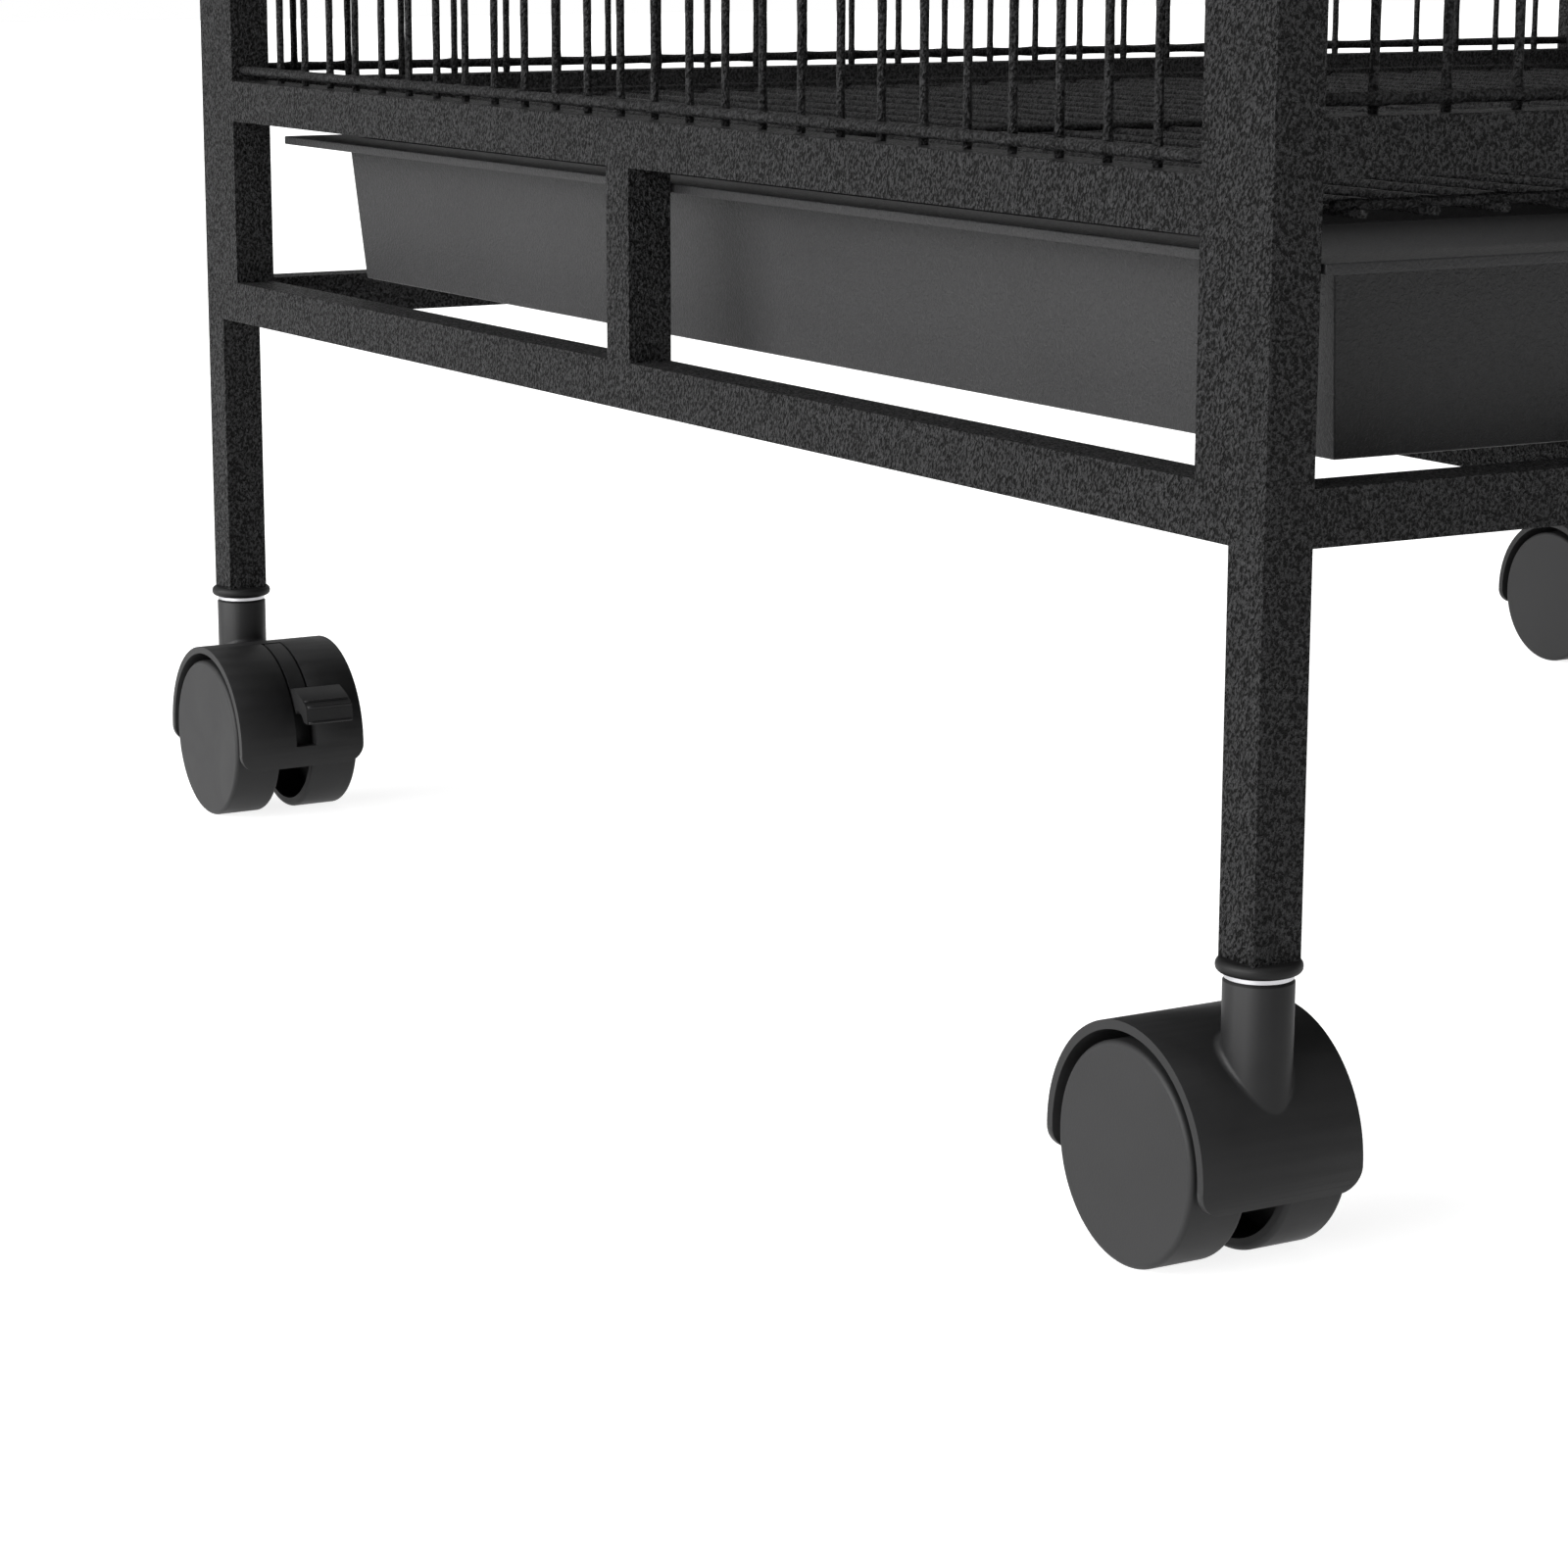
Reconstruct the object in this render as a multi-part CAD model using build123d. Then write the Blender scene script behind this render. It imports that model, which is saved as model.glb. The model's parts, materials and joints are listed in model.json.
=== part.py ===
from build123d import *
import math
import os

# A square flight cage for small birds, standing on four swivel casters.
# Millimetres. Origin on the floor under the middle of the cage.
# +X is the right-hand side seen from the front, +Y is the back, +Z is up.

# ---- cage envelope -------------------------------------------------------
WIDTH = 456.0          # over the left and right faces
DEPTH = 455.0          # over the front and back faces
HEIGHT = 1350.0        # floor to the top of the roof
TUBE = 10.0            # square steel tube of the whole frame
WALL = 1.0             # its wall

# ---- heights above the floor ----------------------------------------------
LEG_BOTTOM = 55.5      # end of each corner post
LOW_RAIL = 126.5       # underside of the four lower rails
SIDE_RAIL = 177.0      # underside of the side and back upper rails
FRONT_RAIL = 187.0     # the front upper rail is one tube higher: the grate passes under it
DOOR_SILL = 430.0      # underside of the rail below the main door
DOOR_HEADER = 860.0    # underside of the rail above it

# ---- wire panels -----------------------------------------------------------
BAR_R = 0.9            # upright bars
CROSS_R = 1.2          # cross wires, on the outside of the bars
WELD = 0.15            # how far crossing wires sink into each other
FIRST_CROSS = 2.6      # lowest cross wire above the rail
CROSS_BAYS = 8         # bays between cross wires, rail to roof
SIDE_BARS = 26
SIDE_PITCH = 15.04
FRONT_BARS = 28
FRONT_PITCH = 15.15

# ---- main door ---------------------------------------------------------------
JAMB_BAR = 9           # the jamb takes the place of this bar, counted from the middle
DOOR_GAP = 1.5
HINGE_R = 3.0
HINGE_PIN_R = 1.5
HINGE_LEAF = 1.5
HINGE_Z = (500.0, 760.0)
KNUCKLE = 13.0
KNUCKLE_GAP = 0.3
LATCH_Z = 650.0
BOLT_R = 2.5
BOLT_Y = 4.0           # bolt axis in front of the front face

# ---- feeder doors and cups ------------------------------------------------
FEEDER_BAY = 3         # the bay between cross wires that holds the feeder opening
FEEDER_HALF = 3.5      # half of the opening, in bar pitches
SLEEVE_R = 2.6
RUNNING = 0.05         # radial running clearance
CUP = (66.0, 88.0, 46.0)
CUP_WALL = 2.0

# ---- perches ---------------------------------------------------------------
PERCH_R = 8.0
PERCHES = ((5, 560.0), (-4, 985.0))   # bar gap counted from the middle, height

# ---- tray and grate ---------------------------------------------------------
TRAY_BOTTOM = 138.3
TRAY_TOP = 173.4
TRAY_SKIN = 2.0
TRAY_FLOOR = (201.8, -211.4, 185.9)     # half width, front, back, outside, at the bottom
TRAY_MOUTH = (204.9, -214.0, 188.4)     # the same at the top
TRAY_FLANGE = (217.0, -227.5, 201.0)    # edge of the flange
RUNNER_X = 134.0       # middle of each tube under the tray
RUNNER_RISE = 1.5      # how far these tubes stand above the lower rails
GRATE_Z = 181.2        # axis of the bars that run front to back
GRATE_BARS = 29
GRATE_PITCH = 14.935
GRATE_FRONT = -227.0
GRATE_BACK = 216.0
GRATE_CROSS_R = 1.0
GRATE_CROSS_Y = (-223.5, -3.0, 212.0)
LEDGE = (12.0, 1.4)

# ---- casters -----------------------------------------------------------------
TRAIL = 15.0           # axle behind the stem
WHEEL_R = 20.0
WHEEL_IN = 4.5
WHEEL_OUT = 16.8
WHEEL_RIM = 2.2
AXLE_R = 2.5
AXLE_HALF = 13.0
HOOD_R = 23.6
HOOD_SKIN = 1.7
HOOD_LIP = -5.2        # lower edge of the hood, from the axle
HOOD_CORNER = 4.5
WEB = 3.9              # half thickness of the web between the wheels
WEB_R = 19.0
NECK_R = 6.2
NECK_TOP = 53.1
NECK_CHAMFER = 0.6
NECK_BLEND = 1.2       # fillet between the neck and the hood
STEM_R = 3.0
STEM_FLANGE = (6.0, 0.7)
COLLAR_R = 7.5
COLLAR = (54.0, 56.4)
PLUG_TOP = 86.0
BRAKE_X = (-3.1, 1.2)      # tongue of the brake lever
BRAKE_PAD_X = (-10.8, 1.9)
BRAKE_SLIT = 0.6
BRAKE_PIVOT = (3.0, 21.0)  # from the axle
BRAKE_BARREL_R = 1.3
BRAKE_PIN_R = 0.8
BRAKE_PIN_END = 3.6
BRAKE_EAR = (70.0, 95.0)   # degrees about the axle, above +Y
SHOE_X = 8.0               # half length of the shoe that rubs both wheels
SHOE_R = (20.9, 21.6)
SHOE = (36.0, 44.0)

HX = WIDTH / 2
HY = DEPTH / 2
POST_IN = TUBE                      # inner face of a post, from the outer face
STILE_IN = 2 * TUBE                 # inner face of a side frame's stile
BAR_IN = TUBE / 2                   # bars stand on the middle of the tube
CROSS_IN = BAR_IN - (BAR_R + CROSS_R - WELD)
SIDE_TOP = SIDE_RAIL + TUBE
FRONT_TOP = FRONT_RAIL + TUBE
ROOF_UNDER = HEIGHT - TUBE
CROSS_STEP = (ROOF_UNDER - SIDE_TOP - 2 * FIRST_CROSS) / CROSS_BAYS
LEVELS = [SIDE_TOP + FIRST_CROSS + i * CROSS_STEP for i in range(CROSS_BAYS + 1)]
JAMB_X = FRONT_PITCH * (JAMB_BAR + 0.5)
FEEDER_LOW = LEVELS[FEEDER_BAY]
FEEDER_HIGH = LEVELS[FEEDER_BAY + 1]
FEEDER_Y = SIDE_PITCH * FEEDER_HALF
HINGE_X = -(JAMB_X - TUBE / 2 - DOOR_GAP / 2)
HINGE_Y = -(HY + HINGE_R)


# ---- building blocks ----------------------------------------------------------
def block(x0, x1, y0, y1, z0, z1):
    centre = Pos((x0 + x1) / 2, (y0 + y1) / 2, (z0 + z1) / 2)
    return centre * Box(abs(x1 - x0), abs(y1 - y0), abs(z1 - z0))


def tube(axis, x0, x1, y0, y1, z0, z1):
    """Square tube, open at both ends, between two corners."""
    spans = {"x": [x0, x1], "y": [y0, y1], "z": [z0, z1]}
    hollow = []
    for name, (low, high) in spans.items():
        low, high = min(low, high), max(low, high)
        step = -1.0 if name == axis else WALL
        hollow += [low + step, high - step]
    return block(x0, x1, y0, y1, z0, z1) - block(*hollow)


def rod(start, direction, length, radius):
    place = Plane(origin=start, z_dir=direction)
    return place * Cylinder(radius, length, align=(Align.CENTER, Align.CENTER, Align.MIN))


def drum(x0, x1, y, z, radius):
    return rod((x0, y, z), (1, 0, 0), x1 - x0, radius)


def weld(pieces):
    return pieces[0] + pieces[1:] if len(pieces) > 1 else pieces[0]


def bar_places(count, pitch):
    return [(i - (count - 1) / 2) * pitch for i in range(count)]


def wire_field(face, inward, along, ends, cross, span):
    """Flat welded wire field. face is "x" or "y", the axis square to it; inward is the
    sign that points into the cage; along lists the bars, ends are their z limits,
    cross lists the heights of the cross wires and span is their reach."""
    outer = -inward * (HX if face == "x" else HY)
    bar_at = outer + inward * BAR_IN
    cross_at = outer + inward * CROSS_IN
    wires = []
    for place in along:
        start = (bar_at, place, ends[0]) if face == "x" else (place, bar_at, ends[0])
        wires.append(rod(start, (0, 0, 1), ends[1] - ends[0], BAR_R))
    for z in cross:
        start = (cross_at, span[0], z) if face == "x" else (span[0], cross_at, z)
        run = (0, 1, 0) if face == "x" else (1, 0, 0)
        wires.append(rod(start, run, span[1] - span[0], CROSS_R))
    return weld(wires)


# ---- frame ------------------------------------------------------------------------
SCREW_Z = (300.0, 690.0, 1240.0)
SCREW_R = 2.4
SCREW_HEAD = (4.2, 2.6)
ROOF_SCREW_Y = 120.0


def corner_post(sx, sy):
    x0, x1 = sorted((sx * HX, sx * (HX - TUBE)))
    y0, y1 = sorted((sy * HY, sy * (HY - TUBE)))
    post = tube("z", x0, x1, y0, y1, LEG_BOTTOM, HEIGHT - 1.5)
    for z in SCREW_Z:
        start = (sx * (HX - BAR_IN), sy * (HY - TUBE - 1), z)
        post -= rod(start, (0, sy, 0), TUBE / 2, SCREW_R)
    return post


def post_caps():
    caps = []
    for sx in (-1, 1):
        for sy in (-1, 1):
            centre = Pos(sx * (HX - BAR_IN), sy * (HY - BAR_IN), HEIGHT - 0.75)
            plug = Pos(0, 0, -0.75 - 4) * Box(TUBE - 2 * WALL, TUBE - 2 * WALL, 8)
            caps.append(centre * (Box(TUBE, TUBE, 1.5) + plug))
    return caps


def side_frame(sx):
    x0, x1 = sorted((sx * HX, sx * (HX - TUBE)))
    reach = HY - STILE_IN
    rails = [tube("y", x0, x1, -reach, reach, z, z + TUBE)
             for z in (LOW_RAIL, SIDE_RAIL, ROOF_UNDER)]
    rails[2] -= [rod((sx * (HX - TUBE - 1), y, HEIGHT - BAR_IN), (sx, 0, 0), TUBE / 2, SCREW_R)
                 for y in (-ROOF_SCREW_Y, ROOF_SCREW_Y)]
    upright = tube("z", x0, x1, -TUBE / 2, TUBE / 2, LOW_RAIL + TUBE, SIDE_RAIL)
    stiles = []
    for sy in (-1, 1):
        y0, y1 = sorted((sy * (HY - TUBE), sy * reach))
        stile = tube("z", x0, x1, y0, y1, LOW_RAIL, HEIGHT)
        for z in SCREW_Z:
            start = (sx * (HX - BAR_IN), y0 - 1, z)
            stile -= rod(start, (0, 1, 0), TUBE + 2, SCREW_R + 0.2)
        stiles.append(stile)
    return rails + [upright] + stiles


def side_wires(sx):
    """Bars and cross wires of one side, around the feeder opening."""
    reach = HY - STILE_IN
    bars = bar_places(SIDE_BARS, SIDE_PITCH)
    edge = FEEDER_Y - BAR_R - 0.7
    ends = (SIDE_TOP, ROOF_UNDER)
    front = [y for y in bars if y < -FEEDER_Y + 1]
    middle = [y for y in bars if abs(y) < FEEDER_Y - 1]
    back = [y for y in bars if y > FEEDER_Y - 1]
    below = LEVELS[:FEEDER_BAY + 1]
    above = LEVELS[FEEDER_BAY + 1:]
    return [
        wire_field("x", -sx, front, ends, LEVELS, (-reach, -edge)),
        wire_field("x", -sx, back, ends, LEVELS, (edge, reach)),
        wire_field("x", -sx, middle, (SIDE_TOP, FEEDER_LOW), below, (-edge, edge)),
        wire_field("x", -sx, middle, (FEEDER_HIGH, ROOF_UNDER), above, (-edge, edge)),
    ]


def back_frame():
    y0, y1 = HY - TUBE, HY
    reach = HX - TUBE
    return [tube("x", -reach, reach, y0, y1, z, z + TUBE)
            for z in (LOW_RAIL, SIDE_RAIL, ROOF_UNDER)]


def back_wires():
    reach = HX - TUBE
    bars = bar_places(FRONT_BARS, FRONT_PITCH)
    return [wire_field("y", -1, bars, (SIDE_TOP, ROOF_UNDER), LEVELS, (-reach, reach))]


def front_frame():
    y0, y1 = -HY, -(HY - TUBE)
    reach = HX - TUBE
    inner = JAMB_X - TUBE / 2
    tubes = [tube("x", -reach, reach, y0, y1, z, z + TUBE)
             for z in (LOW_RAIL, FRONT_RAIL, ROOF_UNDER)]
    tubes += [tube("x", -inner, inner, y0, y1, z, z + TUBE) for z in (DOOR_SILL, DOOR_HEADER)]
    for sx in (-1, 1):
        x0, x1 = sorted((sx * inner, sx * (inner + TUBE)))
        tubes.append(tube("z", x0, x1, y0, y1, FRONT_TOP, ROOF_UNDER))
    return tubes + jamb_knuckles()


def front_wires():
    reach = HX - TUBE
    inner = JAMB_X - TUBE / 2
    bars = bar_places(FRONT_BARS, FRONT_PITCH)
    outer_bars = [x for x in bars if x > JAMB_X + 1]
    middle = [x for x in bars if abs(x) < JAMB_X - 1]
    first = FRONT_TOP + FIRST_CROSS
    full = [first] + LEVELS[1:]
    ends = (FRONT_TOP, ROOF_UNDER)
    below = [z for z in full if z < DOOR_SILL]
    above = [z for z in full if z > DOOR_HEADER + TUBE]
    return [
        wire_field("y", 1, [-x for x in outer_bars], ends, full, (-reach, -inner - TUBE)),
        wire_field("y", 1, outer_bars, ends, full, (inner + TUBE, reach)),
        wire_field("y", 1, middle, (FRONT_TOP, DOOR_SILL), below, (-inner, inner)),
        wire_field("y", 1, middle, (DOOR_HEADER + TUBE, ROOF_UNDER), above, (-inner, inner)),
    ]


def roof_frame():
    x1 = HX - TUBE
    y1 = HY - TUBE
    tubes = []
    for s in (-1, 1):
        a, b = sorted((s * x1, s * (x1 - TUBE)))
        side = tube("y", a, b, -y1, y1, ROOF_UNDER, HEIGHT)
        side -= [rod((a - 1, y, HEIGHT - BAR_IN), (1, 0, 0), TUBE + 2, SCREW_R + 0.2)
                 for y in (-ROOF_SCREW_Y, ROOF_SCREW_Y)]
        tubes.append(side)
        a, b = sorted((s * y1, s * (y1 - TUBE)))
        tubes.append(tube("x", -x1 + TUBE, x1 - TUBE, a, b, ROOF_UNDER, HEIGHT))
    return tubes


def roof_wires():
    reach_x = HX - 2 * TUBE
    reach_y = HY - 2 * TUBE
    bars = [rod((x, -reach_y, HEIGHT - BAR_IN), (0, 1, 0), 2 * reach_y, BAR_R)
            for x in bar_places(27, FRONT_PITCH)]
    rise = BAR_R + CROSS_R - WELD
    cross = [rod((-reach_x, y, HEIGHT - BAR_IN + rise), (1, 0, 0), 2 * reach_x, CROSS_R)
             for y in bar_places(3, reach_y / 2)]
    return [weld(bars + cross)]


def frame_screws():
    """Screws from each stile into its post, and from the roof into the side frames."""
    head_r, head_h = SCREW_HEAD
    screws = []
    for sx in (-1, 1):
        x = sx * (HX - BAR_IN)
        for sy in (-1, 1):
            y = sy * (HY - STILE_IN)
            for z in SCREW_Z:
                head = rod((x, y, z), (0, -sy, 0), head_h, head_r)
                shank = rod((x, y, z), (0, sy, 0), TUBE + WALL + 3, SCREW_R)
                screws.append(head + shank)
        x = sx * (HX - 2 * TUBE)
        for y in (-ROOF_SCREW_Y, ROOF_SCREW_Y):
            head = rod((x, y, HEIGHT - BAR_IN), (-sx, 0, 0), head_h, head_r)
            shank = rod((x, y, HEIGHT - BAR_IN), (sx, 0, 0), TUBE + WALL + 3, SCREW_R)
            screws.append(head + shank)
    return screws


# ---- main door --------------------------------------------------------------------
def knuckle(z, bore, leaf_sign):
    leaf_x = HINGE_X + leaf_sign * (TUBE - 0.5)
    leaf = block(HINGE_X, leaf_x, -HY - HINGE_LEAF, -HY, z, z + KNUCKLE)
    body = rod((HINGE_X, HINGE_Y, z), (0, 0, 1), KNUCKLE, HINGE_R) + leaf
    return body - rod((HINGE_X, HINGE_Y, z - 1), (0, 0, 1), KNUCKLE + 2, bore)


def jamb_knuckles():
    step = KNUCKLE + KNUCKLE_GAP
    return [knuckle(z + offset, HINGE_PIN_R, -1) for z in HINGE_Z for offset in (-step, step)]


def hinge_pins():
    step = KNUCKLE + KNUCKLE_GAP
    pins = []
    for z in HINGE_Z:
        length = 2 * step + KNUCKLE
        pin = rod((HINGE_X, HINGE_Y, z - step), (0, 0, 1), length, HINGE_PIN_R)
        head = rod((HINGE_X, HINGE_Y, z - step + length), (0, 0, 1), 1.5, HINGE_R)
        pins.append(pin + head)
    return pins


def door_frame():
    half = JAMB_X - TUBE / 2 - DOOR_GAP
    z0 = DOOR_SILL + TUBE + DOOR_GAP
    z1 = DOOR_HEADER - DOOR_GAP
    y0, y1 = -HY, -(HY - TUBE)
    tubes = [tube("z", -half, -half + TUBE, y0, y1, z0, z1),
             tube("z", half - TUBE, half, y0, y1, z0, z1),
             tube("x", -half + TUBE, half - TUBE, y0, y1, z0, z0 + TUBE),
             tube("x", -half + TUBE, half - TUBE, y0, y1, z1 - TUBE, z1)]
    return tubes + [knuckle(z, HINGE_PIN_R + RUNNING, 1) for z in HINGE_Z]


def door_wires():
    half = JAMB_X - TUBE / 2 - DOOR_GAP - TUBE
    bars = [x for x in bar_places(FRONT_BARS, FRONT_PITCH) if abs(x) < half - 2]
    z0 = DOOR_SILL + 2 * TUBE + DOOR_GAP
    z1 = DOOR_HEADER - DOOR_GAP - TUBE
    cross = [z for z in LEVELS if z0 < z < z1]
    return [wire_field("y", 1, bars, (z0, z1), cross, (-half, half))]


LATCH_PLATE_X = (94.0, 135.0)
LATCH_GUIDES = ((95.0, 101.0), (128.0, 134.0))
BOLT_X = (90.0, 135.5)
BOLT_TRAVEL = 11.0
KEEPER_X = (140.0, 147.0)


def latch_plate():
    y = -HY - BOLT_Y
    plate = block(*LATCH_PLATE_X, -HY - HINGE_LEAF, -HY, LATCH_Z - 9, LATCH_Z + 9)
    guides = [block(a, b, y - 4, -HY, LATCH_Z - 4.5, LATCH_Z + 4.5) for a, b in LATCH_GUIDES]
    bracket = weld([plate] + guides)
    return bracket - drum(90, 140, y, LATCH_Z, BOLT_R + RUNNING)


def latch_bolt():
    y = -HY - BOLT_Y
    shaft = drum(*BOLT_X, y, LATCH_Z, BOLT_R)
    grip = (LATCH_GUIDES[0][1] + LATCH_GUIDES[1][0] - BOLT_TRAVEL) / 2
    knob = rod((grip, y, LATCH_Z), (0, -1, 0), 7.0, 1.8)
    ball = Pos(grip, y - 7.0, LATCH_Z) * Sphere(3.0)
    return shaft + [knob, ball]


def latch_keeper():
    y = -HY - BOLT_Y
    body = block(*KEEPER_X, y - 4.5, -HY, LATCH_Z - 5, LATCH_Z + 5)
    return body - drum(KEEPER_X[0] - 1, KEEPER_X[1] + 1, y, LATCH_Z, BOLT_R + 0.5)


# ---- feeder doors, cups and perches ----------------------------------------------
def feeder_door(sx):
    """Small wire door whose two sleeves turn on the bar behind the opening."""
    bar_x = sx * (HX - BAR_IN)
    cross_x = sx * (HX - CROSS_IN)
    low = FEEDER_LOW + CROSS_R + 0.4
    high = FEEDER_HIGH - CROSS_R - 0.4
    sleeve = 10.0
    wires = [rod((bar_x, FEEDER_Y, z), (0, 0, 1), sleeve, SLEEVE_R) for z in (low, high - sleeve)]
    bars = [y for y in bar_places(SIDE_BARS, SIDE_PITCH) if abs(y) < FEEDER_Y - 1]
    edge = FEEDER_Y - 6.0
    for y in [-edge] + bars + [edge]:
        wires.append(rod((bar_x, y, FEEDER_LOW + 5.0), (0, 0, 1), CROSS_STEP - 10.0, BAR_R))
    for z in (FEEDER_LOW + 8.0, (FEEDER_LOW + FEEDER_HIGH) / 2, FEEDER_HIGH - 8.0):
        reach = edge if abs(z - (FEEDER_LOW + FEEDER_HIGH) / 2) < 1 else FEEDER_Y - 2.0
        wires.append(rod((cross_x, -edge - 1.0, z), (0, 1, 0), reach + edge + 1.0, CROSS_R))
    mid = (FEEDER_LOW + FEEDER_HIGH) / 2
    tab = block(cross_x, cross_x + sx * 7.0, -edge - 0.9, -edge + 11.0, mid - 0.8, mid + 0.8)
    door = weld(wires + [tab])
    bore = rod((bar_x, FEEDER_Y, FEEDER_LOW), (0, 0, 1), CROSS_STEP, BAR_R + RUNNING)
    return door - bore


def feed_cups():
    """Open cups that hook over the cross wire below each feeder opening."""
    cups = []
    depth, width, tall = CUP
    top = FEEDER_LOW + 12.0
    lip_low = FEEDER_LOW + CROSS_R + 0.35
    for sx in (-1, 1):
        back = HX - BAR_IN - BAR_R - 0.6
        x0, x1 = sorted((sx * back, sx * (back - depth)))
        shell = block(x0, x1, -width / 2, width / 2, top - tall, top)
        shell = fillet(shell.edges().filter_by(Axis.Z), 8.0)
        hollow = block(x0 + CUP_WALL, x1 - CUP_WALL, -width / 2 + CUP_WALL, width / 2 - CUP_WALL,
                       top - tall + CUP_WALL, top + 1)
        hollow = fillet(hollow.edges().filter_by(Axis.Z), 6.0)
        outer = sx * (HX + 1.0)
        lip = block(sx * (back - 1.0), outer, -30, 30, lip_low, lip_low + 1.6)
        hook = block(outer, sx * (HX - 0.6), -30, 30, FEEDER_LOW - 8, lip_low + 1.6)
        cups.append(shell - hollow + [lip, hook])
    return cups


def perches():
    end = HX - BAR_IN - BAR_R - 2.1
    dowels = []
    for gap, z in PERCHES:
        y = gap * SIDE_PITCH
        dowel = drum(-end, end, y, z, PERCH_R)
        dowel -= drum(-end - 1, -end + 15, y, z, 2.0)
        dowel -= drum(end - 15, end + 1, y, z, 2.0)
        dowels.append(dowel)
    return dowels


def perch_hardware():
    """Hanger bolts, washers each side of the bars, and wing nuts."""
    end = HX - BAR_IN - BAR_R - 2.1
    outside = HX - BAR_IN + BAR_R + 0.1
    pieces = []
    for gap, z in PERCHES:
        y = gap * SIDE_PITCH
        for sx in (-1, 1):
            out = (sx, 0, 0)
            pieces.append(rod((sx * (end - 14), y, z), out, outside - end + 14 + 10, 2.0))
            for x, thick in ((end, 1.6), (outside, 1.5)):
                disc = rod((sx * x, y, z), out, thick, 7.0)
                pieces.append(disc - rod((sx * (x - 1), y, z), out, thick + 2, 2.0))
            base = outside + 1.5
            hub = rod((sx * base, y, z), out, 5.0, 4.0)
            wing = block(sx * (base + 1.0), sx * (base + 7.0), y - 10, y + 10, z - 0.9, z + 0.9)
            pieces.append(hub + wing - rod((sx * (base - 1), y, z), out, 12.0, 2.0))
    return pieces


# ---- tray and grate ------------------------------------------------------------------
def tray_body(inset, z0, z1):
    """Drafted tray block, its walls inset from the outer skin."""
    rise = TRAY_TOP - TRAY_BOTTOM
    sections = []
    for z in (z0, z1):
        t = (z - TRAY_BOTTOM) / rise
        half, front, back = [a + (b - a) * t for a, b in zip(TRAY_FLOOR, TRAY_MOUTH)]
        outline = Rectangle(2 * (half - inset), back - front - 2 * inset)
        sections.append(Pos(0, (front + back) / 2, z) * outline)
    return loft(sections)


def tray():
    half, front, back = TRAY_FLANGE
    flange = block(-half, half, front, back, TRAY_TOP - TRAY_SKIN, TRAY_TOP)
    body = tray_body(0.0, TRAY_BOTTOM, TRAY_TOP) + flange
    return body - tray_body(TRAY_SKIN, TRAY_BOTTOM + TRAY_SKIN, TRAY_TOP + 5.0)


def tray_runners():
    """Two tubes between the front and back lower rails, which the tray slides on."""
    z = LOW_RAIL + RUNNER_RISE
    reach = HY - TUBE
    return [tube("y", s * RUNNER_X - TUBE / 2, s * RUNNER_X + TUBE / 2, -reach, reach, z, z + TUBE)
            for s in (-1, 1)]


def grate():
    bars = [rod((x, GRATE_FRONT, GRATE_Z), (0, 1, 0), GRATE_BACK - GRATE_FRONT, BAR_R)
            for x in bar_places(GRATE_BARS, GRATE_PITCH)]
    reach = GRATE_PITCH * (GRATE_BARS - 1) / 2 + 4.0
    rise = 1.2
    cross = [rod((-reach, y, GRATE_Z + rise), (1, 0, 0), 2 * reach, GRATE_CROSS_R)
             for y in GRATE_CROSS_Y]
    return weld(bars + cross)


def grate_ledges():
    """Thin ledges on the inner faces of the side frames, under the grate."""
    wide, thick = LEDGE
    top = GRATE_Z - BAR_R - 0.3
    x = HX - TUBE
    reach = HY - STILE_IN
    return [block(s * x, s * (x - wide), -reach, reach, top - thick, top) for s in (-1, 1)]


# ---- casters: stem axis at x = y = 0, axle behind it along +Y ---------------------------
def caster_socket():
    low, high = COLLAR
    collar = rod((0, 0, low), (0, 0, 1), high - low, COLLAR_R)
    collar = fillet(collar.edges().filter_by(GeomType.CIRCLE), 1.1)
    collar -= block(-TUBE / 2, TUBE / 2, -TUBE / 2, TUBE / 2, LEG_BOTTOM, high + 1)
    side = TUBE / 2 - WALL - 0.05
    plug = block(-side, side, -side, side, LEG_BOTTOM - 0.5, PLUG_TOP)
    return collar + plug - rod((0, 0, low - 1), (0, 0, 1), PLUG_TOP, STEM_R + RUNNING)


def caster_stem():
    flange_r, flange_h = STEM_FLANGE
    pin = rod((0, 0, NECK_TOP - 18), (0, 0, 1), PLUG_TOP - 2 - NECK_TOP + 18, STEM_R)
    pin = chamfer(pin.edges().filter_by(GeomType.CIRCLE).sort_by(Axis.Z)[-1], 0.8)
    return pin + rod((0, 0, NECK_TOP), (0, 0, 1), flange_h, flange_r)


def caster_hood():
    """Curved hood over both wheels, open below, with rounded lower corners."""
    hood = drum(-WHEEL_OUT, WHEEL_OUT, TRAIL, WHEEL_R, HOOD_R)
    hood -= drum(-WHEEL_OUT - 1, WHEEL_OUT + 1, TRAIL, WHEEL_R, HOOD_R - HOOD_SKIN)
    lip = WHEEL_R + HOOD_LIP
    hood -= block(-30, 30, TRAIL - 30, TRAIL + 30, -30, lip)
    for sy in (-1, 1):
        half = hood & block(-30, 30, TRAIL, TRAIL + sy * 30, lip, WHEEL_R)
        side = Plane(origin=(0, TRAIL, WHEEL_R + HOOD_CORNER), x_dir=(1, 0, 0), z_dir=(0, sy, 0))
        outline = RectangleRounded(2 * WHEEL_OUT, 2 * (HOOD_CORNER - HOOD_LIP), HOOD_CORNER)
        trimmed = half & extrude(side * outline, 30)
        hood = hood - block(-30, 30, TRAIL, TRAIL + sy * 30, lip - 1, WHEEL_R) + trimmed
    return hood


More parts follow.
